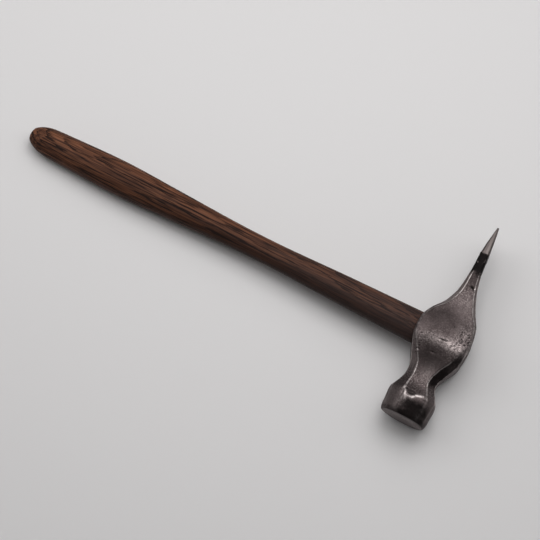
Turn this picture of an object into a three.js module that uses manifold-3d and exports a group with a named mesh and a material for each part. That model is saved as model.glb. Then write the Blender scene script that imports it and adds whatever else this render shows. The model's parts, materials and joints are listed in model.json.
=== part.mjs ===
// A cross peen hammer: a forged steel head on an oval wooden handle, held by a wooden wedge and a
// steel wedge. Millimetres, +Z up. It is drawn with the centre of the eye at the origin, the handle
// along -X, the striking face toward -Y and the peen toward +Y. At the end the whole hammer is
// tipped until it lies on its cheek, the poll and the swell of the handle.

import * as THREE from 'three';
import { mergeVertices } from 'three/addons/utils/BufferGeometryUtils.js';
import Module from 'manifold-3d';

const wasm = await Module();
wasm.setup();

// Head: places along Y, then half sizes across X and Z.
const FACE_Y = -54;
const SHOULDER_Y = -40;
const NECK_Y = -27;
const GRIND_Y = 57;
const EDGE_Y = 75.4;
const FACE_RADIUS = 13.6;
const FACE_RIM = 1.4;
const POLL_RADIUS = 15;
const NECK_HALF_WIDTH = 10.1;
const NECK_HALF_THICKNESS = 11.2;
const NECK_CHAMFER = 4.2;
const CHEEK_HALF_WIDTH = 17.5;
const CHEEK_HALF_THICKNESS = 17.2;
const CHEEK_REACH = 26.5;
const CHEEK_CROWN = 1.2;
const PEEN_HALF_WIDTH = 3;
const PEEN_HALF_BREADTH = 10.4;
const EDGE_HALF_BREADTH = 9.6;
const PEEN_CHAMFER = 2.4;
const EDGE_HALF_WIDTH = 0.6;
const EDGE_BREAK = 0.8;
const OCTAGON_CHAMFER = 2 - Math.SQRT2;
const CORNER_SOFTENING = 0.4;

// Eye, kerf and wedges.
const EYE_HALF_LENGTH = 10.4;
const EYE_HALF_WIDTH = 7.2;
const EYE_WAIST = 0.92;
const FIT_GAP = 0.3;
const TENON_END = 17.4;
const WOOD_WEDGE = { depth: 22, mouth: 2.8, toe: 0.8, span: 2 * EYE_HALF_LENGTH };
const STEEL_WEDGE = { depth: 14, mouth: 2.2, toe: 0.6, span: 9 };

// Handle: places along X from the butt, then half sizes across Y and Z.
const BUTT_TO_EYE = 290;
const BUTT_DOME = 16;
const BUTT_DOME_POWER = 2.1;
const BUTT_HALF = [8.5, 7];
const SWELL_X = 65;
const SWELL_HALF = [10.9, 8.8];
const WAIST_X = 176;
const WAIST_HALF = [7.7, 6.6];
const SHOULDER_HALF = [10.1, 8.2];
const OVAL_POWER = 2.3;

const HEAD_STEPS = 88;
const HANDLE_STEPS = 56;
const EYE_STEPS = 12;
const OVAL_STEPS = 28;

const steel = (color, roughness) => new THREE.MeshStandardMaterial({ color, roughness, metalness: 1 });
const wood = (color, roughness) => new THREE.MeshStandardMaterial({ color, roughness, metalness: 0 });

// A smooth curve through rows of [place, value, value, ...].
function smooth(rows) {
  const size = rows[0].length - 1;
  const places = rows.map((row) => row[0]);
  const values = rows.flatMap((row) => row.slice(1));
  const curve = new THREE.CubicInterpolant(places, values, size, new Float64Array(size));
  return (place) => Array.from(curve.evaluate(place));
}

// Evenly spaced numbers from start to end, both included.
function spread(start, end, steps) {
  return Array.from({ length: steps + 1 }, (_, i) => THREE.MathUtils.lerp(start, end, i / steps));
}

// A closed skin over rings of points, with a fan over each end.
function loft(rings) {
  const count = rings[0].length;
  const centre = (ring) => new THREE.Box3().setFromPoints(ring).getCenter(new THREE.Vector3());
  const points = [...rings.flat(), centre(rings[0]), centre(rings.at(-1))];
  const lastRing = (rings.length - 1) * count;
  const startHub = points.length - 2;
  const endHub = points.length - 1;
  const index = [];
  for (let i = 0; i < count; i += 1) {
    const next = (i + 1) % count;
    for (let ring = 0; ring < lastRing; ring += count) {
      index.push(ring + i, ring + next, ring + count + next);
      index.push(ring + i, ring + count + next, ring + count + i);
    }
    index.push(startHub, next, i);
    index.push(endHub, lastRing + i, lastRing + next);
  }
  const geometry = new THREE.BufferGeometry().setFromPoints(points);
  geometry.setIndex(index);
  return geometry;
}

function toSolid(geometry) {
  const bare = geometry.clone();
  bare.deleteAttribute('normal');
  bare.deleteAttribute('uv');
  const merged = mergeVertices(bare, 1e-4);
  return new wasm.Manifold(new wasm.Mesh({
    numProp: 3,
    vertProperties: merged.attributes.position.array,
    triVerts: Uint32Array.from(merged.index.array),
  }));
}

function toGeometry(solid) {
  const mesh = solid.getMesh();
  const geometry = new THREE.BufferGeometry();
  geometry.setAttribute('position', new THREE.BufferAttribute(mesh.vertProperties, 3));
  geometry.setIndex(new THREE.BufferAttribute(mesh.triVerts, 1));
  geometry.computeVertexNormals();
  return geometry;
}

function namedMesh(name, geometry, material) {
  const mesh = new THREE.Mesh(geometry, material);
  mesh.name = name;
  return mesh;
}

// A section of the head at y: a rectangle of half sizes a and b with chamfered corners, where each
// corner of the chamfer is softened by three points. The crown is how far the middle of its top and
// bottom stands above their edges. Lean moves it away from the handle.
function chamferedRing(y, a, b, chamfer, crown, lean) {
  const across = a - chamfer;
  const edge = b - crown;
  const upright = edge - chamfer;
  const corners = [
    [a, -upright], [across, -edge], [-across, -edge], [-a, -upright],
    [-a, upright], [-across, edge], [across, edge], [a, upright],
  ].map(([x, z]) => new THREE.Vector3(x + lean, y, z));
  const soften = CORNER_SOFTENING * chamfer;
  return corners.flatMap((corner, i) => {
    const toward = (other) => corner.clone().add(other.clone().sub(corner).setLength(soften));
    const before = toward(corners.at(i - 1));
    const after = toward(corners[(i + 1) % corners.length]);
    const middle = before.clone().add(after).add(corner).add(corner).divideScalar(4);
    const crest = new THREE.Vector3(lean, y, b * Math.sign(corner.z));
    return i % 4 === 1 ? [before, middle, after, crest] : [before, middle, after];
  });
}

// A section of the handle or the eye at x: an oval a little fuller than an ellipse.
function ovalRing(x, halfLength, halfWidth) {
  const round = (value) => Math.sign(value) * Math.abs(value) ** (2 / OVAL_POWER);
  return spread(0, 2 * Math.PI, OVAL_STEPS).slice(1).map((angle) => new THREE.Vector3(
    x,
    halfLength * round(Math.cos(angle)),
    halfWidth * round(Math.sin(angle)),
  ));
}

// The eye, or with a gap the tenon that fills it. It narrows to a waist halfway through.
function eyeRing(x, gap) {
  const flare = Math.min(1, Math.abs(x) / CHEEK_HALF_WIDTH) ** 2;
  const scale = THREE.MathUtils.lerp(EYE_WAIST, 1, flare);
  return ovalRing(x, EYE_HALF_LENGTH * scale - gap, EYE_HALF_WIDTH * scale - gap);
}

// The cheek is an ellipse seen from the side.
const cheekHalf = (y) => CHEEK_HALF_WIDTH * Math.sqrt(1 - (y / CHEEK_REACH) ** 2);

// Bends whatever ends flat in the eye's far mouth to the curve of the head's side.
function dress(geometry) {
  const position = geometry.attributes.position;
  for (let i = 0; i < position.count; i += 1) {
    const x = position.getX(i);
    const curve = Math.sqrt(1 - (position.getY(i) / CHEEK_REACH) ** 2);
    position.setX(i, x > 0 ? x * curve : x);
  }
  return geometry;
}

// Rows of half width, half thickness, chamfer, crown and lean, from the face to the edge of the peen.
const octagon = (y, radius) => [y, radius, radius, radius * OCTAGON_CHAMFER, 0, 0];
const headSection = smooth([
  octagon(FACE_Y, FACE_RADIUS),
  octagon(FACE_Y + FACE_RIM, FACE_RADIUS + FACE_RIM / 2),
  octagon(FACE_Y + 8, POLL_RADIUS),
  octagon(SHOULDER_Y, POLL_RADIUS),
  [SHOULDER_Y + 4.5, 12.8, 12.9, 6.2, 0, 0],
  [NECK_Y - 4, 10.6, 11.5, 4.6, 0, -0.3],
  [NECK_Y, NECK_HALF_WIDTH, NECK_HALF_THICKNESS, NECK_CHAMFER, 0, -0.2],
  [NECK_Y + 6, 11.8, 12.1, 3.7, 0.4, 0.6],
  [-13, 15.3, 14.8, 2, 0.9, 0.8],
  [-6, cheekHalf(-6), 16.8, EDGE_BREAK, CHEEK_CROWN, 0],
  [0, CHEEK_HALF_WIDTH, CHEEK_HALF_THICKNESS, EDGE_BREAK, CHEEK_CROWN, 0],
  [6, cheekHalf(6), 16.5, EDGE_BREAK, CHEEK_CROWN, 0.1],
  [13, 14.7, 14.7, 1.3, 0.7, 0.7],
  [20, 10.4, 13.1, 2, 0.3, 1.2],
  [29, 6.6, 11.7, PEEN_CHAMFER, 0, 1],
  [38, 4.5, 11, 2, 0, 0.3],
  [48, 3.4, 10.7, 1.6, 0, -0.3],
  [GRIND_Y, PEEN_HALF_WIDTH, PEEN_HALF_BREADTH, 1.2, 0, -0.7],
  [(GRIND_Y + EDGE_Y) / 2, (PEEN_HALF_WIDTH + EDGE_HALF_WIDTH) / 2, 10.1, 0.6, 0, -0.6],
  [EDGE_Y, EDGE_HALF_WIDTH, EDGE_HALF_BREADTH, EDGE_HALF_WIDTH / 2, 0, -0.5],
]);

function headSolid() {
  const body = loft(spread(FACE_Y, EDGE_Y, HEAD_STEPS).map((y) => chamferedRing(y, ...headSection(y))));
  const reach = CHEEK_HALF_WIDTH + 4;
  const eye = loft(spread(-reach, reach, EYE_STEPS).map((x) => eyeRing(x, 0)));
  return toSolid(body).subtract(toSolid(eye));
}

// A plate that tapers from the end of the tenon inward. Its thickness is along Z; grow widens it.
function wedgePlate({ depth, mouth, toe, span }, grow) {
  const outline = new THREE.Shape([
    new THREE.Vector2(TENON_END - depth - grow, toe / 2 + grow),
    new THREE.Vector2(TENON_END - depth - grow, -toe / 2 - grow),
    new THREE.Vector2(TENON_END + grow, -mouth / 2 - grow),
    new THREE.Vector2(TENON_END + grow, mouth / 2 + grow),
  ]);
  const length = span + 2 * grow;
  const settings = { depth: length, steps: EYE_STEPS, bevelEnabled: false };
  const plate = new THREE.ExtrudeGeometry(outline, settings);
  return plate.translate(0, 0, -length / 2).rotateX(Math.PI / 2);
}

// Rows of half width and half height, from the butt to just outside the eye.
const HANDLE_OUTSIDE = BUTT_TO_EYE - CHEEK_HALF_WIDTH - 2;
const handleHalf = smooth([
  [0, ...BUTT_HALF],
  [27, 9.8, 8],
  [SWELL_X, ...SWELL_HALF],
  [106, 9.5, 7.9],
  [150, 7.8, 6.8],
  [WAIST_X, ...WAIST_HALF],
  [220, 9, 7.4],
  [HANDLE_OUTSIDE, ...SHOULDER_HALF],
]);

function handleSolid(kerf, slot) {
  const outer = spread(0, 1, HANDLE_STEPS).slice(1).map((t) => {
    const along = t ** 1.5 * HANDLE_OUTSIDE;
    const fromDome = 1 - Math.min(1, along / BUTT_DOME);
    const dome = (1 - fromDome ** BUTT_DOME_POWER) ** (1 / BUTT_DOME_POWER);
    const [a, b] = handleHalf(along);
    return ovalRing(along - BUTT_TO_EYE, a * dome, b * dome);
  });
  const tenon = spread(-CHEEK_HALF_WIDTH, TENON_END, EYE_STEPS).map((x) => eyeRing(x, FIT_GAP));
  return toSolid(dress(loft([...outer, ...tenon]))).subtract(kerf).subtract(slot);
}

const kerf = toSolid(dress(wedgePlate(WOOD_WEDGE, FIT_GAP)));
const slot = toSolid(dress(wedgePlate(STEEL_WEDGE, FIT_GAP).rotateX(Math.PI / 2)));

function woodWedgeSolid() {
  const reach = CHEEK_HALF_WIDTH + 4;
  const inEye = loft(spread(-reach, reach, EYE_STEPS).map((x) => eyeRing(x, FIT_GAP)));
  return toSolid(dress(wedgePlate(WOOD_WEDGE, 0))).intersect(toSolid(inEye)).subtract(slot);
}

function steelWedgeSolid() {
  return toSolid(dress(wedgePlate(STEEL_WEDGE, 0).rotateX(Math.PI / 2)));
}

const hammer = new THREE.Group();
hammer.add(
  namedMesh('head', toGeometry(headSolid()), steel(0x77706c, 0.4)),
  namedMesh('handle', toGeometry(handleSolid(kerf, slot)), wood(0x4a3024, 0.5)),
  namedMesh('wood_wedge', toGeometry(woodWedgeSolid()), wood(0x8a6a48, 0.7)),
  namedMesh('steel_wedge', toGeometry(steelWedgeSolid()), steel(0x55504d, 0.6)),
);

// The crowned cheek carries it, so the butt drops until the handle's underside meets the ground,
// and the head rolls until the poll does.
const handleSlopes = spread(BUTT_DOME, WAIST_X, HANDLE_STEPS)
  .map((along) => (CHEEK_HALF_THICKNESS - handleHalf(along)[1]) / (BUTT_TO_EYE - along));
const pollSlopes = spread(FACE_Y, SHOULDER_Y, HEAD_STEPS)
  .map((y) => (CHEEK_HALF_THICKNESS - headSection(y)[1]) / -y);
hammer.rotation.y = -Math.asin(Math.min(...handleSlopes));
hammer.rotation.x = Math.asin(Math.min(...pollSlopes));

// The frame's origin is under the middle of the lying hammer.
const lying = new THREE.Group();
lying.add(hammer);
const bounds = new THREE.Box3().setFromObject(lying, true);
const middle = bounds.getCenter(new THREE.Vector3());
lying.position.set(-middle.x, -middle.y, -bounds.min.z);

export default lying;
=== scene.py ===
"""A blacksmith's cross peen hammer lying on its cheek on a pale table.

The head, the handle and the two wedges are rebuilt in fine detail around the CAD frame. They are
drawn in the hammer's own millimetres, with the centre of the eye at the origin, the handle along
-X, the striking face toward -Y and the peen toward +Y, and then laid where the frame has them.
"""

import json
import math

import bpy
import numpy as np
from mathutils import Matrix, Vector, noise


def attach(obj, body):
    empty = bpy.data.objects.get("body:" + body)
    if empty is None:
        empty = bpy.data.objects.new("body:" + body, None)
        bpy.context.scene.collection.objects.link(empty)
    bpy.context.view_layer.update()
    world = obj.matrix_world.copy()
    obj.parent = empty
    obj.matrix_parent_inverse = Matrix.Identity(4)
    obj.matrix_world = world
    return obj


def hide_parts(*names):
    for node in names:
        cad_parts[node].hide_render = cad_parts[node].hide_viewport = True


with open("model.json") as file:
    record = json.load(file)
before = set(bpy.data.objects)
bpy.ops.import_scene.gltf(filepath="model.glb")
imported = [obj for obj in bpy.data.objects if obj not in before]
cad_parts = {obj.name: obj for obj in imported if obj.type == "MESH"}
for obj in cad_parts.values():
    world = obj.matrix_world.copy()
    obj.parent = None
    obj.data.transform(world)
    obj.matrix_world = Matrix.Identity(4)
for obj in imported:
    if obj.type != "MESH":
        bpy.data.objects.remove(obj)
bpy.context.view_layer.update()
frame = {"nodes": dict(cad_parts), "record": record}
NODES = frame["nodes"]

MM = 0.001

# The head, in millimetres from the centre of the eye. The poll runs from the face to POLL_END, and
# its relief sets in over FACE_BREAK. The peen's ground wedge starts at GRIND_Y, and before it forge
# scale is left, from SCALE_START on and all over from SCALE_FULL on.
FACE_TO_EYE = 54.0
FACE_BREAK = 0.8
POLL_END = -41.0
CHEEK_CROWN = 1.2
CHEEK_CROWN_LENGTH = 13.0
RIM_DEPTH = 5.0
RIM_DROP = 1.4
GRIND_Y = 57.0
SCALE_START = GRIND_Y - 16
SCALE_FULL = GRIND_Y - 11
EYE_HALF_LENGTH = 10.4
EYE_HALF_WIDTH = 7.2
EYE_WAIST = 0.92
EYE_REACH = 17.5
CHEEK_REACH = 26.5
FIT_GAP = 0.3
OVAL_POWER = 2.3
TENON_END = 17.4

# How finely the CAD head is cut, and the new skins are drawn.
CAD_SECTIONS = 89
HEAD_STEPS = 380
HEAD_SIDES = 240
HANDLE_STEPS = 340
HANDLE_SIDES = 96
TENON_STEPS = 36
CUTTER_STEPS = 40
CUTTER_SIDES = 96
WEDGE_STEPS = 26
WEDGE_SIDES = 72


# ---------------------------------------------------------------- placing and measuring


def points_of(node):
    """A CAD node's points in the row frame, in metres."""
    mesh = NODES[node].data
    flat = np.zeros(len(mesh.vertices) * 3)
    mesh.vertices.foreach_get("co", flat)
    return flat.reshape(-1, 3)


def hammer_matrix():
    """The hammer's own axes in the row frame: from the striking face's mount and the butt's end."""
    face = frame["record"]["mounts"][0]
    along_head = -Vector(face["axis"]).normalized()
    eye = Vector(face["pos_m"]) + along_head * FACE_TO_EYE * MM
    handle = points_of("handle")
    end_ring = handle[handle[:, 0] < handle[:, 0].min() + 0.5 * MM]
    along_handle = (eye - Vector(end_ring.mean(0))).normalized()
    up = along_handle.cross(along_head).normalized()
    axes = Matrix((along_handle, up.cross(along_handle), up)).transposed()
    return Matrix.Translation(eye) @ axes.to_4x4()


HAMMER = hammer_matrix()
TO_HAMMER = np.array(HAMMER.inverted())


def in_hammer(node):
    """A CAD node's points in the hammer's own millimetres."""
    points = points_of(node)
    return (points @ TO_HAMMER[:3, :3].T + TO_HAMMER[:3, 3]) / MM


def smooth_table(places, values):
    """A smooth curve through evenly or unevenly spaced places: cubic pieces with averaged slopes."""
    slopes = np.gradient(values, places)

    def at(place):
        i = np.clip(np.searchsorted(places, place) - 1, 0, len(places) - 2)
        width = places[i + 1] - places[i]
        t = np.clip((place - places[i]) / width, 0, 1)
        start = (1 + 2 * t) * (1 - t) ** 2
        end = t * t * (3 - 2 * t)
        leave = t * (1 - t) ** 2 * width
        arrive = t * t * (t - 1) * width
        return start * values[i] + end * values[i + 1] + leave * slopes[i] + arrive * slopes[i + 1]

    return at


def soft_step(start, end, x):
    """0 before start, 1 after end and a soft rise between them."""
    t = np.clip((x - start) / (end - start), 0, 1)
    return t * t * (3 - 2 * t)


def bump(x, centre, width):
    """1 at the centre, falling to about a third at width on either side."""
    return np.exp(-(((x - centre) / width) ** 2))


def noise_field(points, size, seed, octaves=1, stretch=(1, 1, 1)):
    """Smooth noise from -1 to 1 at points in millimetres; size is that of its lumps."""
    scaled = points / (size * np.array(stretch)) + seed * 17.3
    if octaves == 1:
        return np.array([noise.noise(p) for p in scaled])
    return np.array([noise.fractal(p, 0.9, 2.1, octaves) for p in scaled])


def crater_field(points, size, seed):
    """Distance to the nearest of scattered cell centres, 0 at a centre and about 1 at a cell's edge."""
    scaled = points / size + seed * 11.9
    return np.array([noise.voronoi(p)[0][0] for p in scaled])


# ---------------------------------------------------------------- meshes


EDGE_LAYERS = ("bright", "soot_and_shade")


def grid_faces(rings, sides):
    """The quads between rings of points, each ring joined to the next."""
    i = np.arange(sides)
    base = (np.arange(rings - 1) * sides)[:, None]
    a = base + i
    b = base + (i + 1) % sides
    return np.stack([a, b, b + sides, a + sides], axis=2).reshape(-1, 4).tolist()


def make_object(name, points, faces, layers):
    """A smooth-shaded object in the hammer's place. layers are point values for its material."""
    mesh = bpy.data.meshes.new(name)
    mesh.from_pydata((points * MM).tolist(), [], faces)
    mesh.transform(HAMMER)
    mesh.polygons.foreach_set("use_smooth", np.ones(len(mesh.polygons), bool))
    for layer, values in layers.items():
        attribute = mesh.attributes.new(layer, "FLOAT", "POINT")
        attribute.data.foreach_set("value", values.astype(np.float32))
    mesh.validate()
    obj = bpy.data.objects.new(name, mesh)
    bpy.context.scene.collection.objects.link(obj)
    return obj


def normals_of(points, faces):
    """Point normals of a quad mesh, averaged by area."""
    quads = points[np.array(faces)]
    face_normals = np.cross(quads[:, 2] - quads[:, 0], quads[:, 3] - quads[:, 1])
    total = np.zeros_like(points)
    for corner in range(4):
        np.add.at(total, np.array(faces)[:, corner], face_normals)
    return total / np.maximum(np.linalg.norm(total, axis=1, keepdims=True), 1e-12)


def cut(obj, cutter):
    """Takes cutter's shape out of obj and removes cutter."""
    modifier = obj.modifiers.new("cut", "BOOLEAN")
    modifier.operation = "DIFFERENCE"
    modifier.solver = "EXACT"
    modifier.object = cutter
    bpy.context.view_layer.update()
    shaped = obj.evaluated_get(bpy.context.evaluated_depsgraph_get())
    mesh = bpy.data.meshes.new_from_object(shaped)
    obj.modifiers.clear()
    obj.data = mesh
    bpy.data.objects.remove(cutter)


# ---------------------------------------------------------------- the head


def cad_sections():
    """How far the CAD head reaches to either side and up, at each of its sections along Y."""
    points = in_hammer("head")
    places = np.linspace(points[:, 1].min(), points[:, 1].max(), CAD_SECTIONS)
    rings = [points[np.abs(points[:, 1] - place) < 0.01] for place in places]
    left = np.array([-ring[:, 0].min() for ring in rings])
    right = np.array([ring[:, 0].max() for ring in rings])
    top = np.array([ring[:, 2].max() for ring in rings])
    return places, left, right, top


# Places along the head, then the sizes of its upper chamfers on the handle's side and the far side.
CHAMFER_PLACES = np.array([-54, -41, -36, -31, -27, -20, -13, -7, -2, 6, 13, 20, 29, 38, 48, 56, 75.4])
CHAMFER_NEAR = np.array([8, 8.7, 6.5, 5.0, 4.6, 4.6, 3.2, 1.8, 1.0, 0.8, 1.4, 2.6, 2.6, 2.0, 1.4, 0.9, 0.1])
CHAMFER_FAR = np.array([5.6, 6.2, 5.8, 5.2, 4.8, 5.4, 4.6, 2.6, 1.0, 0.9, 1.4, 2.0, 1.9, 1.6, 1.2, 0.8, 0.1])
SHARP_PLACES = np.array([-54, -50, -41, -36, -27, -10, 10, 30, 56, 75.4])
SHARP_POWERS = np.array([8, 8, 11, 30, 44, 48, 48, 44, 40, 30.0])


def head_surface():
    """The head's skin before any hammer marks, with how near each point is to a worn edge."""
    places, left, right, top = cad_sections()
    ys = np.linspace(places[0], places[-1], HEAD_STEPS)
    lean = smooth_table(places, (right - left) / 2)(ys)
    half = smooth_table(places, (right + left) / 2)(ys)
    height = smooth_table(places, top)(ys)

    rim = 1 - np.clip((ys - places[0]) / RIM_DEPTH, 0, 1)
    belly = np.interp(places[0] + RIM_DEPTH + 2, places, top)
    rimmed = belly - RIM_DROP * (1 - np.sqrt(1 - rim**2))
    at_rim = ys < places[0] + RIM_DEPTH
    half = np.where(at_rim, rimmed, half)
    height = np.where(at_rim, rimmed, height)

    near = np.interp(ys, CHAMFER_PLACES, CHAMFER_NEAR)
    far = np.interp(ys, CHAMFER_PLACES, CHAMFER_FAR)
    power = np.interp(ys, SHARP_PLACES, SHARP_POWERS)[:, None]
    crown = CHEEK_CROWN * bump(ys, 0, CHEEK_CROWN_LENGTH)

    turn = np.linspace(0, 2 * np.pi, HEAD_SIDES, endpoint=False)
    dx = half[:, None] * np.cos(turn)
    dz = -height[:, None] * np.sin(turn)
    length = np.hypot(dx, dz)
    dx, dz = dx / length, dz / length

    flats = [
        (1, 0, half),
        (-1, 0, half),
        (0, 1, height),
        (0, -1, height),
        (1, 1, half + height - far),
        (-1, 1, half + height - near),
        (1, -1, half + height - far),
        (-1, -1, half + height - near),
    ]
    reach = np.stack([np.maximum(nx * dx + nz * dz, 0) / h[:, None] for nx, nz, h in flats])
    total = (reach**power).sum(0) ** (1 / power)
    edge = np.clip((1 - reach.max(0) / total) / (1 - 2 ** (-1 / power)), 0, 1)

    x = dx / total
    z = dz / total
    z = z * (1 - (crown / height)[:, None] * np.minimum(1, (x / half[:, None]) ** 2))
    y = np.broadcast_to(ys[:, None], x.shape)
    points = np.stack([x + lean[:, None], y, z], axis=2).reshape(-1, 3)
    return points, edge.reshape(-1)


def dent(points, place, size, angle=0.0):
    """A round or stretched hollow: 1 in its middle, on the side of the head that place is on."""
    x, y, z = place
    dx, dy = points[:, 0] - x, points[:, 1] - y
    along = dx * math.cos(angle) + dy * math.sin(angle)
    across = dy * math.cos(angle) - dx * math.sin(angle)
    same_side = points[:, 2] * z > 0
    return same_side * np.exp(-((along / size[0]) ** 2) - (across / size[1]) ** 2)


def along_line(points, corners, width, side=1):
    """1 on a broken line drawn on the top (side 1) or underside (-1) of the head, falling to 0 beside it."""
    plan = points[:, :2]
    nearest = np.full(len(points), 1e9)
    for start, end in zip(corners[:-1], corners[1:]):
        start, step = np.array(start), np.subtract(end, start)
        t = np.clip((plan - start) @ step / (step @ step), 0, 1)
        nearest = np.minimum(nearest, np.hypot(*(plan - start - t[:, None] * step).T))
    return np.exp(-((nearest / width) ** 2)) * (points[:, 2] * side > 0)


# Lines as x and y. On the poll's upper flat: the lip of the worn hollow by the shoulder, and the two
# edges that part from the hollow's corner. On the cheek: its polished ridge, the ridge's scratched
# part, and the pitted corner by the neck.
HOLLOW_LIP = [(-5.2, -39.6), (-4.6, -41.4), (-2.7, -42.6), (0.2, -42.2), (1.8, -40.4), (5.9, -38.9)]
EDGE_SPLIT = [(-3.2, -44.8), (-4.9, -41.2), (-6.2, -38.3)]
EDGE_SECOND = [(-5.6, -47.3), (-5.2, -43.5), (-4.9, -41.2)]
CHEEK_RIDGE = [(-13.4, -7.4), (-7.0, -5.6), (0.0, -4.4), (7.0, -4.8), (16.0, -4.6)]
RIDGE_MARKS = [(2, -5.5), (15, -6.5)]
PITTED_CORNER = [(-11.6, -5.5), (-11.6, -11.0), (-9.9, -15.5)]

# Depths of the forged and worn relief, in millimetres.
DIMPLE_DEPTH = 0.09
UNEVENNESS = 0.045
PIT_DEPTH = 0.35
RIDGE_MARK_DEPTH = 0.22
UNDER_MARK_DEPTH = 0.12
SCALE_DEPTH = 0.18
FLAKE_DEPTH = 0.5
EDGE_ROUNDING = 0.22
POLL_ROUNDING = 0.3
EYE_MOUTH_ROUNDING = 0.4
GRIND_STEP = 0.45

# In the functions below, each term is a soft spot or band: a strength, then a bump, a soft_step or an
# along_line that places it by x and y in millimetres. z > 0 keeps it on the upper side.


def pitting(points):
    """Long pits on the far side of the cheek and short ones on its near corner by the neck, 0 to 1."""
    x, y, z = points.T
    far_side = bump(x, 12.5, 5.5) * bump(y, 2.5, 8)
    grooves = soft_step(0.06, 0.26, noise_field(points, 0.85, 8, octaves=2, stretch=(1.0, 2.2, 1.0)))
    near_corner = along_line(points, PITTED_CORNER, 1.9)
    holes = soft_step(0.50, 0.25, crater_field(points, 1.4, 7))
    return (far_side * grooves + near_corner * holes) * (z > 0)


def forged_relief(points, edge):
    """How far each point of the head is pushed in, in millimetres."""
    _, y, z = points.T
    on_poll = 1 - soft_step(POLL_END, POLL_END + 6, y)
    on_cheek = soft_step(-24, -14, y) * (1 - soft_step(14, 26, y))
    ground = soft_step(GRIND_Y - 0.3, GRIND_Y + 0.3, y)

    planished = crater_field(points, 7.0, 3)
    depth = DIMPLE_DEPTH * (1 - planished) * (1 - 0.6 * on_poll)
    depth += UNEVENNESS * (1 + noise_field(points, 3.2, 5, octaves=3))

    depth += PIT_DEPTH * pitting(points)
    ridge_marks = along_line(points, RIDGE_MARKS, 3.2)
    lines = noise_field(points, 0.7, 12, stretch=(0.8, 4.5, 1.0))
    depth += RIDGE_MARK_DEPTH * ridge_marks * np.maximum(0, lines)
    under = (z < 0) * on_cheek
    scrapes = np.maximum(0, noise_field(points, 1.6, 21, stretch=(1.0, 2.0, 1.0)))
    depth += UNDER_MARK_DEPTH * under * scrapes

    scale = soft_step(SCALE_START, SCALE_FULL, y) * (1 - ground)
    flakes = np.clip(0.6 - crater_field(points, 1.7, 9), 0, 1)
    depth += scale * (SCALE_DEPTH + FLAKE_DEPTH * flakes)

    rounding = edge**3 * (EDGE_ROUNDING + POLL_ROUNDING * on_poll)
    depth += rounding * (0.7 + 0.5 * noise_field(points, 2.4, 15))
    depth -= 0.10 * along_line(points, EDGE_SPLIT, 0.7) + 0.08 * along_line(points, EDGE_SECOND, 0.7)
    return np.maximum(depth, 0)


def rounding_allowance(edge):
    """The part of the relief that is only the softening of edges, which doesn't look dark."""
    return 0.12 + 0.5 * edge


def upper_chamfer(normals, side):
    """1 where the skin faces up and to one side (-1 for the handle's) at 45 degrees, falling to 0."""
    x, _, z = normals.T
    return soft_step(0.35, 0.8, 2 * np.clip(side * x, 0, 1) * np.clip(z, 0, 1))


def worn_bright(points, edge):
    """How far each point is worn to bright steel: along edges, on the cheek's ridge and the hollow's lip."""
    x, y, z = points.T
    patchy = 0.65 + 0.75 * noise_field(points, 5.0, 61, octaves=2)
    patchy += 0.5 * noise_field(points, 1.7, 63)
    far_edges = bump(y, -33, 5) + bump(y, 24, 9)
    near_edges = bump(y, -20, 8) + bump(y, 34, 8)
    rubbed = np.where(x > 0, far_edges, near_edges) * (z > 0)
    bright = soft_step(0.25, 0.8, edge) * np.clip(patchy + rubbed, 0.12, 1)
    bright *= 1 - 0.75 * bump(x, 14, 7) * bump(y, -4, 14) * (z > 0)
    bright *= 1 - 0.75 * bump(x, -15, 8) * bump(y, 1, 14) * (z > 0)
    bright *= 1 - 0.95 * (1 - soft_step(POLL_END, POLL_END + 4, y))
    lip = along_line(points, HOLLOW_LIP, 0.65) * (0.3 + 0.55 * soft_step(-2, 2, x))
    split = 0.35 * along_line(points, EDGE_SPLIT, 0.6) + 0.2 * along_line(points, EDGE_SECOND, 0.7)
    return np.clip(np.maximum(bright, lip + split), 0, 1)


def polish_and_highlight(points, normals):
    """Broad burnishing on the ridge across the cheek, the cheek's far side, the neck, the peen's root, the
    lip on the poll and the underside, and painted highlight on the upper chamfers, which brighten by how
    they face.
    """
    x, y, z = points.T
    ridge = along_line(points, CHEEK_RIDGE, 2.8) * (0.4 + 0.75 * soft_step(-6, 9, x))
    root = 0.15 * bump(x, 5, 5) * bump(y, 24, 9) * (z > 0)
    side = 0.28 * bump(x, 12, 6) * bump(y, 4, 9) * (z > 0)
    neck = 0.32 * bump(x, 2.5, 4) * bump(y, -24, 6) * (z > 0)
    lip = 0.35 * bump(x, -3.5, 2.5) * bump(y, -44.5, 3) * (z > 0)
    under = 0.6 * bump(y, -1, 5) * (z < 0) * (0.5 + noise_field(points, 9.0, 71))
    on_peen = soft_step(12, 20, y) * (1 - soft_step(42, 47, y))
    on_poll = 1 - soft_step(POLL_END - 1, POLL_END + 5, y)
    # Painted highlight: the upper chamfers on the handle's side and the far side brighten by how they face.
    near = upper_chamfer(normals, -1) * (0.55 * on_peen + 0.35 * bump(y, -22, 10) + 0.15 * on_poll)
    far = upper_chamfer(normals, 1) * (0.6 * on_peen + 0.25 * on_poll)
    return np.clip(ridge + root + side + neck + lip + under + near + far, 0, 1)


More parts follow.
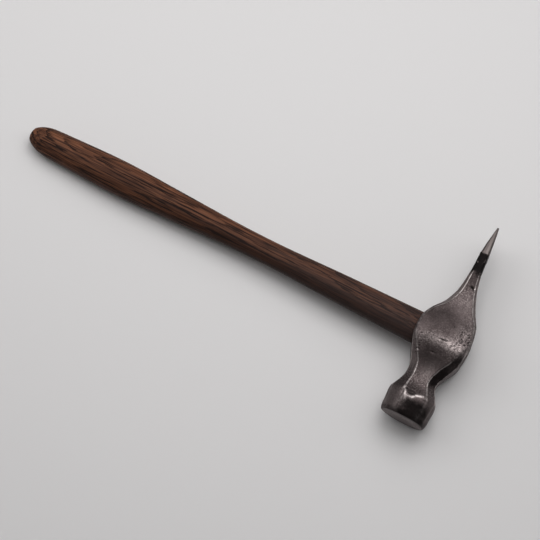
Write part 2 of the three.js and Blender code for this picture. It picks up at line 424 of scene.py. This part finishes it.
def soot_and_shade(points, normals):
    """Darkening, 0 to 1, mostly painted shade: over the poll's upper flat where its facet edge would shine,
    at its corner and along the rim by the face, on the hollow flank by the neck and in the dips at the
    waist and the shoulder. The upward faces of the cheek and the peen are darkened too.
    """
    x, y, z = points.T
    up = soft_step(0.55, 0.85, normals[:, 2])
    # Painted shade on the poll's upper flat, over the highlight of its facet edge, at its corner and along
    # the face's rim.
    on_flat = soft_step(-9.5, -3, x) * (1 - soft_step(11.5, 14, x)) * (z > 0)
    poll = on_flat * (1 - soft_step(POLL_END - 5, POLL_END, y)) * (0.45 + 0.30 * soft_step(-6, 0, x))
    corner = 0.95 * bump(x, 5.5, 6.5) * bump(y, -49.5, 5.5) * (z > 0)
    rim = 0.5 * bump(y, -53.0, 1.6) * (z > 0)
    # Painted shade on the hollow flank by the neck, which faces up and toward +X, darkened almost to black.
    flank = 1.25 * upper_chamfer(normals, 1) * soft_step(-33, -27, y) * (1 - soft_step(-12, -2, y))
    flank *= 1 - 0.3 * bump(y, -13, 4)
    cheek = up * 0.30 * bump(x, -6, 13) * bump(y, 9, 11)
    # Painted shade in the dips at the waist and the shoulder.
    waist = up * 0.45 * bump(y, -36.5, 3.5) * (1 - soft_step(2, 6, x))
    shoulder = up * 0.35 * bump(y, -15, 4) * soft_step(-10, -4, x) * (1 - soft_step(4, 10, x))
    peen = up * 0.35 * soft_step(30, 40, y)
    ragged = 0.85 + 0.3 * noise_field(points, 3.0, 81, octaves=2)
    darkening = poll + corner + rim + flank + cheek + waist + shoulder + peen
    return np.clip(darkening * ragged, 0, 1)


def coarseness(points):
    """Where the steel is rough and speckled bright and dark: pitted sides, the ridge and the peen's root."""
    x, y, z = points.T
    pits = bump(x, 13, 6) * bump(y, 2, 13)
    ridge = 0.8 * along_line(points, CHEEK_RIDGE, 4.5)
    neck = 0.7 * bump(y, -32, 7)
    root = 0.6 * bump(y, 28, 9)
    lip = 0.7 * bump(x, -2.0, 4.5) * bump(y, -45, 4)
    return np.clip(0.15 + (pits + ridge + neck + root + lip) * (z > 0), 0, 1)


# Single dents: place (x, y, side), half size along and across, turn in radians, and depth.
MARKS = [
    ((-1.6, -39.8, 1), (4.2, 1.9), 0.0, 0.75),
    ((-5.1, -38.3, 1), (0.8, 0.7), 0.0, 0.7),
    ((-1.0, -38.9, -1), (5.6, 2.4), 0.1, 0.8),
    ((3.9, 6.8, 1), (0.35, 1.5), 0.2, 0.40),
    ((0.8, 6.6, 1), (0.8, 0.4), 0.0, 0.20),
    ((1.5, -3.7, 1), (2.4, 0.45), 0.1, 0.45),
    ((1.2, -5.2, 1), (0.45, 1.3), 0.0, 0.35),
    ((-1.1, -12.6, 1), (1.3, 0.4), 0.1, 0.40),
    ((2.4, 34.3, 1), (1.7, 0.5), -0.3, 0.8),
    ((-0.4, 32.0, 1), (0.5, 0.5), 0.0, 0.35),
    ((0.2, 43.7, 1), (0.8, 0.5), 0.2, 0.3),
    ((-12.3, -52.6, 1), (0.7, 1.0), 0.2, 0.7),
    ((-9.6, -52.8, 1), (0.6, 0.9), 0.1, 0.6),
    ((-5.0, 8.0, -1), (0.4, 2.0), 0.5, 0.3),
    ((6.0, -5.0, -1), (2.0, 0.4), -0.2, 0.35),
]
FACE_POLISH = 0.4


def build_head():
    """The head's detailed skin with its relief and point layers, and the eye cut through it."""
    points, edge = head_surface()
    faces = grid_faces(HEAD_STEPS, HEAD_SIDES)
    normals = normals_of(points, faces)
    smooth = points

    depth = forged_relief(points, edge)
    marks = np.zeros(len(points))
    for place, size, angle, amount in MARKS:
        marks += amount * dent(points, place, size, angle)
    at_face = soft_step(-FACE_TO_EYE, FACE_BREAK - FACE_TO_EYE, points[:, 1])
    past_grind = soft_step(GRIND_Y, GRIND_Y + 0.5, points[:, 1])
    depth = (depth + marks) * at_face * (1 - 0.9 * past_grind)
    depth += EYE_MOUTH_ROUNDING * np.clip(1 - eye_distance(points), 0, 1) ** 2
    step = past_grind * (1 - soft_step(GRIND_Y, GRIND_Y + 9, points[:, 1]))
    depth += GRIND_STEP * step * np.clip(-normals[:, 0], 0, 1)
    points = points - normals * depth[:, None]

    y = smooth[:, 1]
    ragged = y + 0.35 * noise_field(smooth, 3.0, 31)
    scaly = y + 2.6 * noise_field(smooth, 2.6, 33, octaves=3)
    layers = {
        "bright": worn_bright(smooth, edge),
        "polish_and_highlight": polish_and_highlight(smooth, normals),
        "soot_and_shade": soot_and_shade(smooth, normals),
        "coarse": coarseness(smooth),
        "ground": soft_step(GRIND_Y - 0.25, GRIND_Y + 0.25, ragged),
        "scale": soft_step(SCALE_START, SCALE_FULL, scaly),
        "relief": np.clip(depth - rounding_allowance(edge) + 0.5 * pitting(smooth), 0, 1),
    }

    points, faces, layers = close_ends(points, faces, layers, HEAD_STEPS, HEAD_SIDES)
    struck = (np.arange(len(points)) >= len(smooth)) & (points[:, 1] < 0)
    layers["polish_and_highlight"][struck] = FACE_POLISH
    head = make_object("forged_head", points, faces, layers)
    cut(head, eye_cutter())
    return head


def eye_distance(points):
    """Distance in millimetres outside the eye's oval, large for points that don't face its mouths."""
    x, y, z = points.T
    oval = (np.abs(y) / EYE_HALF_LENGTH) ** OVAL_POWER + (np.abs(z) / EYE_HALF_WIDTH) ** OVAL_POWER
    outside = (oval ** (1 / OVAL_POWER) - 1) * EYE_HALF_WIDTH
    return np.where(np.abs(x) > 10, np.abs(outside), 99)


def close_ends(points, faces, layers, steps, sides, rings=14):
    """Closes both ends of a loft with rings to a centre point. The edge layers fade on the way there."""
    all_points = [points]
    faces = list(faces)
    layers = {name: [values] for name, values in layers.items()}
    count = len(points)
    for start, flip in ((0, True), ((steps - 1) * sides, False)):
        rim = points[start:start + sides]
        centre = rim.mean(0)
        previous = start + np.arange(sides)
        for i in range(1, rings):
            ring = rim + (centre - rim) * (i / rings)
            index = count + np.arange(sides)
            all_points.append(ring)
            for name, values in layers.items():
                fade = (1 - i / rings) ** 4 if name in EDGE_LAYERS else 1
                values.append(values[0][start:start + sides] * fade)
            following = np.roll(index, -1)
            before = np.roll(previous, -1)
            quads = np.stack([previous, before, following, index], axis=1)
            faces += (quads[:, ::-1] if flip else quads).tolist()
            previous = index
            count += sides
        all_points.append(centre[None])
        for name, values in layers.items():
            values.append(values[0][start:start + sides].mean(keepdims=True) * (name not in EDGE_LAYERS))
        for i in range(sides):
            triangle = [int(previous[i]), int(previous[(i + 1) % sides]), count]
            faces.append(triangle[::-1] if flip else triangle)
        count += 1
    merged = {name: np.concatenate(values) for name, values in layers.items()}
    return np.concatenate(all_points), faces, merged


def oval_ring(x, half_length, half_width, sides, power=OVAL_POWER):
    """A ring across X: an ellipse that a higher power squares off."""
    turn = np.linspace(0, 2 * np.pi, sides, endpoint=False)
    c, s = np.cos(turn), np.sin(turn)
    y = half_length * np.sign(c) * np.abs(c) ** (2 / power)
    z = half_width * np.sign(s) * np.abs(s) ** (2 / power)
    return np.stack([np.full(sides, x), y, z], axis=1)


def eye_ring(x, gap, sides):
    """The eye's section at x, smaller by gap all round. It narrows to a waist in the middle."""
    scale = EYE_WAIST + (1 - EYE_WAIST) * min(1, abs(x) / EYE_REACH) ** 2
    return oval_ring(x, EYE_HALF_LENGTH * scale - gap, EYE_HALF_WIDTH * scale - gap, sides)


def eye_cutter():
    past_mouth = EYE_REACH + 4
    places = np.linspace(-past_mouth, past_mouth, CUTTER_STEPS)
    points = np.concatenate([eye_ring(x, 0, CUTTER_SIDES) for x in places])
    faces = grid_faces(CUTTER_STEPS, CUTTER_SIDES)
    points, faces, _ = close_ends(points, faces, {}, CUTTER_STEPS, CUTTER_SIDES, rings=2)
    return make_object("eye_cutter", points, faces, {})


# ---------------------------------------------------------------- the handle and the wedges


BUTT_TO_EYE = 290.0
BUTT_DOME = 16.0
BUTT_DOME_POWER = 2.1
HANDLE_OUTSIDE = -EYE_REACH - 2
WOOD_WAVE = 0.07
FIBRE_DEPTH = 0.035
CAD_RING_POINTS = 28

# The tenon's kerf and the slot in its wooden wedge, in millimetres, and how much wider than its wedge
# each is cut on every side. A wedge's section is squared off by WEDGE_POWER.
KERF = {"depth": 22.0, "mouth": 2.8, "toe": 0.8, "span": 2 * EYE_HALF_LENGTH - 4 * FIT_GAP}
KERF_CUT_SPAN = 2 * EYE_HALF_LENGTH + 2
KERF_GAP = 0.16
SLOT = {"depth": 14.0, "mouth": 2.2, "toe": 0.6, "span": 9.0}
SLOT_GAP = 0.12
WEDGE_POWER = 7


def dome(along):
    """How much of its full size the handle has at a distance from the butt's end, from 0 to 1."""
    from_dome = 1 - np.clip(along / BUTT_DOME, 0, 1)
    return (1 - from_dome**BUTT_DOME_POWER) ** (1 / BUTT_DOME_POWER)


def handle_halves():
    """Half width and half height of the CAD handle along X, with the rounding of its butt left out.

    They are measured at the CAD handle's whole rings, which have CAD_RING_POINTS points or more.
    """
    points = in_hammer("handle")
    keys = np.round(points[:, 0], 1)
    places, counts = np.unique(keys, return_counts=True)
    places = places[(counts >= CAD_RING_POINTS) & (places < HANDLE_OUTSIDE)]
    rings = [points[np.abs(keys - place) < 0.05] for place in places]
    along = np.array([ring[:, 0].mean() for ring in rings])
    rounding = dome(along + BUTT_TO_EYE)
    width = np.array([np.abs(ring[:, 1]).max() for ring in rings]) / rounding
    height = np.array([np.abs(ring[:, 2]).max() for ring in rings]) / rounding
    return smooth_table(along, width), smooth_table(along, height), along[0], along[-1]


def handle_rings():
    """Rings from the butt to the shoulder, closer together at the butt, and on through the eye."""
    half_width, half_height, butt, neck = handle_halves()
    t = np.linspace(0, 1, HANDLE_STEPS)
    places = butt + (neck - butt) * (t + 0.35 * t * (t - 1)) + 0.02
    rings = []
    left_out = BUTT_TO_EYE + butt
    for x in places:
        rounding = dome(x - butt + left_out * soft_step(0, 1.5, x - butt))
        a, b = float(half_width(x)) * rounding, float(half_height(x)) * rounding
        rings.append(oval_ring(x, a, b, HANDLE_SIDES))
    for x in np.linspace(-EYE_REACH, TENON_END, TENON_STEPS):
        rings.append(eye_ring(x, FIT_GAP, HANDLE_SIDES))
    return rings


def dress(points):
    """Bends whatever ends flat in the eye's far mouth to the curve of the head's side."""
    curve = np.sqrt(1 - np.minimum(np.abs(points[:, 1]) / CHEEK_REACH, 0.9) ** 2)
    points[:, 0] *= np.where(points[:, 0] > 0, curve, 1)
    return points


def build_handle():
    rings = handle_rings()
    points = np.concatenate(rings)
    faces = grid_faces(len(rings), HANDLE_SIDES)
    normals = normals_of(points, faces)
    outside = 1 - soft_step(HANDLE_OUTSIDE - 6, HANDLE_OUTSIDE, points[:, 0])
    wave = WOOD_WAVE * (1 + noise_field(points, 14.0, 41, stretch=(3.0, 1.0, 1.0)))
    fibres = FIBRE_DEPTH * (1 + noise_field(points, 1.5, 43, octaves=2, stretch=(18.0, 1.0, 1.0)))
    points = points - normals * (outside * (wave + fibres))[:, None]
    points, faces, _ = close_ends(points, faces, {}, len(rings), HANDLE_SIDES, rings=20)
    handle = make_object("turned_handle", dress(points), faces, {})
    cut(handle, taper("kerf_cutter", KERF, KERF_CUT_SPAN, KERF_GAP, False))
    cut(handle, taper("slot_cutter", SLOT, SLOT["span"], SLOT_GAP, True))
    return handle


def taper(name, size, span, grow, upright, crown=0.0, rough=0.0):
    """A wedge that narrows from the tenon's end inward: thin across Z, or across Y when upright.

    It is bigger by grow on every side. Its mouth is domed by crown and its skin uneven by rough.
    """
    start = TENON_END - size["depth"] - grow
    rings = []
    for t in np.linspace(0, 1, WEDGE_STEPS):
        x = start + (TENON_END - start + grow) * t
        thick = size["toe"] + (size["mouth"] - size["toe"]) * t
        halves = (span / 2 + grow, thick / 2 + grow)
        along_y, along_z = halves[::-1] if upright else halves
        rings.append(oval_ring(x, along_y, along_z, WEDGE_SIDES, WEDGE_POWER))
    points = np.concatenate(rings)
    faces = grid_faces(WEDGE_STEPS, WEDGE_SIDES)
    if rough:
        points = points - normals_of(points, faces) * (rough * (1 + noise_field(points, 1.2, 51)))[:, None]
    points, faces, _ = close_ends(points, faces, {}, WEDGE_STEPS, WEDGE_SIDES, rings=8)
    if crown:
        at_mouth = soft_step(TENON_END - 0.3, TENON_END, points[:, 0])
        rim = (np.abs(points[:, 1]) / points[:, 1].max()) ** 2
        points[:, 0] -= crown * at_mouth * rim
    return make_object(name, dress(points), faces, {})


def build_wedges():
    wood = taper("oak_wedge", KERF, KERF["span"], 0.0, False, rough=0.03)
    cut(wood, taper("wedge_slot_cutter", SLOT, SLOT["span"], SLOT_GAP, True))
    steel = taper("steel_cross_wedge", SLOT, SLOT["span"], 0.0, True, crown=0.15, rough=0.04)
    return wood, steel


# ---------------------------------------------------------------- materials


class Shader:
    """A node material with short calls for the nodes that the looks below are made of."""

    def __init__(self, name):
        self.material = bpy.data.materials.new(name)
        self.material.use_nodes = True
        self.tree = self.material.node_tree
        self.surface = self.tree.nodes["Principled BSDF"]
        row = self.tree.nodes.new("ShaderNodeTexCoord").outputs["Object"]
        to_hammer = HAMMER.inverted()
        turn = {"Vector": row, "Location": to_hammer.translation, "Rotation": to_hammer.to_euler()}
        self.place = self.node("ShaderNodeMapping", turn).outputs[0]

    def link(self, value, socket):
        if isinstance(value, bpy.types.NodeSocket):
            self.tree.links.new(value, socket)
        elif isinstance(value, tuple) and len(value) == 3 and socket.type == "RGBA":
            socket.default_value = (*value, 1)
        else:
            socket.default_value = value

    def node(self, kind, inputs, **settings):
        made = self.tree.nodes.new(kind)
        for key, value in settings.items():
            setattr(made, key, value)
        for key, value in inputs.items():
            self.link(value, made.inputs[key])
        return made

    def attribute(self, name):
        return self.node("ShaderNodeAttribute", {}, attribute_name=name).outputs["Fac"]

    def math(self, operation, *values, clamp=False):
        inputs = dict(enumerate(values))
        return self.node("ShaderNodeMath", inputs, operation=operation, use_clamp=clamp).outputs[0]

    def stretch(self, scale):
        return self.node("ShaderNodeMapping", {"Vector": self.place, "Scale": scale}).outputs[0]

    def noise(self, scale, detail, rough, place=None):
        """Noise with about scale lumps to the metre, or to the unit of a stretched place."""
        inputs = {"Vector": place or self.place, "Scale": scale, "Detail": detail, "Roughness": rough}
        return self.node("ShaderNodeTexNoise", inputs).outputs["Fac"]

    def ramp(self, value, low, high, start=0.0, end=1.0):
        """Goes straight from start to end as value goes from low to high."""
        inputs = {"Value": value, "From Min": low, "From Max": high, "To Min": start, "To Max": end}
        return self.node("ShaderNodeMapRange", inputs, clamp=True).outputs[0]

    def mix(self, factor, a, b):
        made = self.node("ShaderNodeMix", {}, data_type="RGBA")
        self.link(factor, made.inputs["Factor"])
        self.link(a, made.inputs[6])
        self.link(b, made.inputs[7])
        return made.outputs[2]

    def blend(self, factor, a, b):
        made = self.node("ShaderNodeMix", {}, data_type="FLOAT")
        self.link(factor, made.inputs["Factor"])
        self.link(a, made.inputs[2])
        self.link(b, made.inputs[3])
        return made.outputs[0]

    def bump(self, height, distance, strength, under=None):
        inputs = {"Height": height, "Distance": distance, "Strength": strength}
        if under:
            inputs["Normal"] = under
        return self.node("ShaderNodeBump", inputs).outputs[0]

    def finish(self, color, roughness, metallic, normal=None, **constants):
        self.link(color, self.surface.inputs["Base Color"])
        self.link(roughness, self.surface.inputs["Roughness"])
        self.link(metallic, self.surface.inputs["Metallic"])
        if normal:
            self.link(normal, self.surface.inputs["Normal"])
        for key, value in constants.items():
            self.surface.inputs[key.replace("_", " ")].default_value = value
        return self.material


OXIDE = (0.062, 0.0485, 0.048)
WORN_STEEL = (0.112, 0.089, 0.088)
POLISH_AND_HIGHLIGHT_STEEL = (0.34, 0.290, 0.283)
BRIGHT_STEEL = (0.64, 0.575, 0.56)
SCALE_BLACK = (0.014, 0.012, 0.012)
SOOT_AND_SHADE = (0.009, 0.0072, 0.0072)
GROUND_DARK = (0.070, 0.059, 0.057)
GROUND_LIGHT = (0.125, 0.107, 0.102)
WEDGE_STEEL_DARK = (0.07, 0.062, 0.058)
WEDGE_STEEL_LIGHT = (0.22, 0.20, 0.19)
TABLE_GREY = (0.735, 0.72, 0.72)
TABLE_LIGHT = (0.745, 0.73, 0.73)

# Woods, each as its lightest, middle and darkest colour, and the grime on the handle by the head.
HANDLE_WOOD = [(0.215, 0.086, 0.045), (0.098, 0.039, 0.022), (0.012, 0.0065, 0.0055)]
WEDGE_WOOD = [(0.32, 0.21, 0.12), (0.22, 0.135, 0.075), (0.09, 0.055, 0.035)]
GRIMY_WOOD = (0.045, 0.031, 0.029)
RINGS_PER_METRE = 400.0


def forged_steel():
    """Oxidised steel, over it polished steel with painted highlight, speckles, and dark patches with painted
    shade from the head's layers, and its ground tip.
    """
    s = Shader("forged_steel")
    bright = s.attribute("bright")
    burnish_and_highlight = s.attribute("polish_and_highlight")
    stain_and_shade = s.attribute("soot_and_shade")
    coarse = s.attribute("coarse")
    ground = s.attribute("ground")
    scale = s.attribute("scale")
    relief = s.attribute("relief")

    clouds = s.noise(70, 5, 0.6)
    specks = s.noise(900, 3, 0.6)
    speckle = s.noise(1150, 3, 0.6)
    grain = s.noise(3200, 2, 0.5)
    lines = s.noise(900, 2, 0.5, place=s.stretch((1.0, 0.10, 1.0)))

    tone = s.ramp(clouds, 0.35, 0.68)
    color = s.mix(tone, OXIDE, WORN_STEEL)
    # Burnished streaks, and the painted highlight on the upper chamfers, mix toward polished steel.
    streaky = s.math("MULTIPLY", burnish_and_highlight, s.ramp(lines, 0.30, 0.58, 0.35, 1.0))
    color = s.mix(streaky, color, POLISH_AND_HIGHLIGHT_STEEL)
    glint = s.math("MULTIPLY", coarse, s.ramp(speckle, 0.52, 0.70, 0.0, 0.75))
    color = s.mix(glint, color, POLISH_AND_HIGHLIGHT_STEEL)
    gloom = s.math("MULTIPLY", coarse, s.ramp(speckle, 0.47, 0.32, 0.0, 0.75))
    color = s.mix(gloom, color, SOOT_AND_SHADE)
    # Painted shade from the head's darkening layer mixes toward near black, flecked by specks.
    color = s.mix(s.math("MULTIPLY", stain_and_shade, s.ramp(specks, 0.2, 0.5, 1.0, 0.88)), color, SOOT_AND_SHADE)
    dark = s.math("MULTIPLY", s.ramp(relief, 0.14, 0.40), s.ramp(specks, 0.30, 0.5), clamp=True)
    color = s.mix(s.math("MULTIPLY", dark, 0.8), color, SCALE_BLACK)
    worn = s.math("MULTIPLY", bright, s.ramp(s.noise(700, 4, 0.6), 0.32, 0.54), clamp=True)
    color = s.mix(worn, color, BRIGHT_STEEL)

    flakes = s.math("MULTIPLY", scale, s.ramp(s.noise(420, 4, 0.65), 0.66, 0.60), clamp=True)
    color = s.mix(flakes, color, SCALE_BLACK)
    color = s.mix(ground, color, s.mix(s.ramp(lines, 0.3, 0.7), GROUND_DARK, GROUND_LIGHT))

    roughness = s.blend(tone, 0.56, 0.50)
    roughness = s.blend(streaky, roughness, 0.40)
    roughness = s.blend(stain_and_shade, roughness, 0.75)
    roughness = s.blend(worn, roughness, 0.38)
    roughness = s.blend(flakes, roughness, 0.65)
    roughness = s.blend(ground, roughness, 0.42)

    fine = s.bump(grain, 0.00003, 0.5)
    forged = s.bump(specks, 0.00012, 0.6, under=fine)
    scratched = s.bump(lines, 0.00004, 0.5, under=forged)
    return s.finish(color, roughness, 1.0, scratched)


def stained_wood(name, light, brown, dark):
    """Ring-porous wood under a dark wood dye: slanting growth rings, each with a band of long pores."""
    s = Shader(name)
    axes = s.node("ShaderNodeSeparateXYZ", {"Vector": s.place})
    x, y, z = (axes.outputs[i] for i in range(3))
    drift = s.noise(1.0, 2, 0.5, place=s.stretch((11, 70, 70)))
    ripple = s.noise(1.0, 2, 0.5, place=s.stretch((90, 500, 500)))
    slant = s.math("ADD", s.math("MULTIPLY", x, 0.045), s.math("MULTIPLY", y, 0.55))
    wander = s.math("ADD", s.math("MULTIPLY", drift, 0.008), s.math("MULTIPLY", ripple, 0.0012))
    height = s.math("ADD", s.math("ADD", z, slant), wander)
    ring = s.math("FRACT", s.math("MULTIPLY", height, RINGS_PER_METRE))
    early = s.math("MULTIPLY", s.ramp(ring, 0.0, 0.05), s.ramp(ring, 0.42, 0.12))

    fibres = s.noise(1.0, 3, 0.6, place=s.stretch((12, 650, 650)))
    threads = s.noise(1.0, 2, 0.5, place=s.stretch((40, 1500, 1500)))
    patches = s.noise(1.0, 3, 0.55, place=s.stretch((9, 80, 80)))
    pores = s.noise(1.0, 2, 0.6, place=s.stretch((30, 850, 850)))
    porous = s.ramp(s.math("ADD", pores, s.math("MULTIPLY", early, 0.12)), 0.57, 0.62)

    color = s.mix(s.ramp(fibres, 0.42, 0.60), brown, light)
    color = s.mix(s.ramp(patches, 0.62, 0.40, 0.0, 0.55), color, brown)
    color = s.mix(s.ramp(threads, 0.45, 0.62, 0.0, 0.62), color, dark)
    color = s.mix(s.math("MULTIPLY", early, 0.32), color, dark)
    color = s.mix(s.math("MULTIPLY", porous, 0.88), color, dark)
    # Painted shade: the -Y half of the handle, turned away from the lights, is darkened, most toward the
    # head.
    shaded_near_side = s.math("MULTIPLY", s.ramp(x, -0.26, -0.10, 0.45, 1.0), s.ramp(y, 0.001, -0.004, 0.0, 0.78))
    color = s.mix(shaded_near_side, color, dark)
    color = s.mix(s.ramp(x, -0.15, -0.02, 0.0, 0.6), color, GRIMY_WOOD)

    roughness = s.blend(porous, 0.52, 0.70)
    relief = s.math("SUBTRACT", s.math("MULTIPLY", fibres, 0.6), porous)
    grain = s.bump(relief, 0.00012, 0.8)
    return s.finish(color, roughness, 0.0, grain, Specular_IOR_Level=0.10)


def dark_steel():
    s = Shader("wedge_steel")
    clouds = s.noise(600, 4, 0.6)
    color = s.mix(s.ramp(clouds, 0.35, 0.7), WEDGE_STEEL_DARK, WEDGE_STEEL_LIGHT)
    bumps = s.bump(s.noise(1800, 3, 0.6), 0.0001, 0.6)
    return s.finish(color, s.ramp(clouds, 0.3, 0.7, 0.6, 0.42), 1.0, bumps)


def table_surface():
    s = Shader("pale_table")
    shade = s.mix(s.noise(3, 2, 0.5), TABLE_GREY, TABLE_LIGHT)
    return s.finish(shade, 0.85, 0.0, Specular_IOR_Level=0.2)


# ---------------------------------------------------------------- the picture


CAMERA_AZIMUTH = 28.19
CAMERA_ELEVATION = 73.48
CAMERA_DISTANCE = 0.935
CAMERA_TARGET = Vector((0.0233, -0.0203, 0.015))
CAMERA_ANGLE = 20
TABLE_HALF = 3.0

# Softboxes all round the hammer, the strongest above and behind it: azimuth from +Y toward +X,
# elevation, the panel's width and height in metres, and its power in watts.
SOFTBOXES = {
    "back": (0, 66, (0.50, 0.50), 2.12),
    "overhead": (-20, 88, (0.40, 0.40), 1.52),
    "left_back": (-52, 60, (0.55, 0.50), 1.12),
    "right_back": (50, 58, (0.50, 0.50), 1.10),
    "left": (-95, 48, (0.40, 0.50), 1.00),
    "left_low": (-62, 34, (0.70, 0.40), 0.64),
    "back_low": (-8, 42, (0.60, 0.35), 0.54),
    "right_low": (60, 25, (0.50, 0.40), 0.34),
    "left_wall": (-105, 18, (0.90, 0.35), 0.35),
    "right_wall": (100, 18, (0.90, 0.35), 0.16),
    "front_wall": (180, 20, (0.90, 0.35), 0.20),
}
SOFTBOX_DISTANCE = 0.9
ROOM_LIGHT = (0.05, 0.05, 0.05, 1.0)
LIT_POINT = Vector((0.05, 0.0, 0.0))


def direction(azimuth, elevation):
    """The unit vector at an azimuth, measured from +Y toward +X, and an elevation, in degrees."""
    a, e = math.radians(azimuth), math.radians(elevation)
    return Vector((math.sin(a) * math.cos(e), math.cos(a) * math.cos(e), math.sin(e)))


def add_softbox(name, away, size, power):
    light = bpy.data.lights.new(name, "AREA")
    light.shape = "RECTANGLE"
    light.size, light.size_y = size
    light.energy = power
    softbox = bpy.data.objects.new(name, light)
    bpy.context.scene.collection.objects.link(softbox)
    softbox.location = LIT_POINT + away * SOFTBOX_DISTANCE
    softbox.rotation_euler = (-away).to_track_quat("-Z", "Y").to_euler()


def add_table():
    corners = [(x * TABLE_HALF, y * TABLE_HALF, 0) for x, y in ((-1, -1), (1, -1), (1, 1), (-1, 1))]
    mesh = bpy.data.meshes.new("table_top")
    mesh.from_pydata(corners, [], [(0, 1, 2, 3)])
    table = bpy.data.objects.new("table_top", mesh)
    bpy.context.scene.collection.objects.link(table)
    table.data.materials.append(table_surface())


def add_camera():
    away = direction(180 - CAMERA_AZIMUTH, CAMERA_ELEVATION)
    data = bpy.data.cameras.new("camera")
    data.angle = math.radians(CAMERA_ANGLE)
    camera = bpy.data.objects.new("camera", data)
    bpy.context.scene.collection.objects.link(camera)
    camera.location = CAMERA_TARGET + away * CAMERA_DISTANCE
    camera.rotation_euler = (-away).to_track_quat("-Z", "Y").to_euler()
    bpy.context.scene.camera = camera


def light_scene():
    world = bpy.data.worlds.new("room")
    bpy.context.scene.world = world
    world.use_nodes = True
    world.node_tree.nodes["Background"].inputs["Color"].default_value = ROOM_LIGHT
    bpy.context.scene.view_settings.view_transform = "Standard"
    for name, (azimuth, elevation, size, power) in SOFTBOXES.items():
        add_softbox(name, direction(azimuth, elevation), size, power)


add_camera()
add_table()
light_scene()

head = build_head()
head.data.materials.append(forged_steel())
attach(head, "root")
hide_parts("head")

handle = build_handle()
handle.data.materials.append(stained_wood("stained_wood", *HANDLE_WOOD))
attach(handle, "root")
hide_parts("handle")

wood_wedge, steel_wedge = build_wedges()
wood_wedge.data.materials.append(stained_wood("wedge_wood", *WEDGE_WOOD))
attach(wood_wedge, "root")
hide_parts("wood_wedge")
steel_wedge.data.materials.append(dark_steel())
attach(steel_wedge, "root")
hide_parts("steel_wedge")
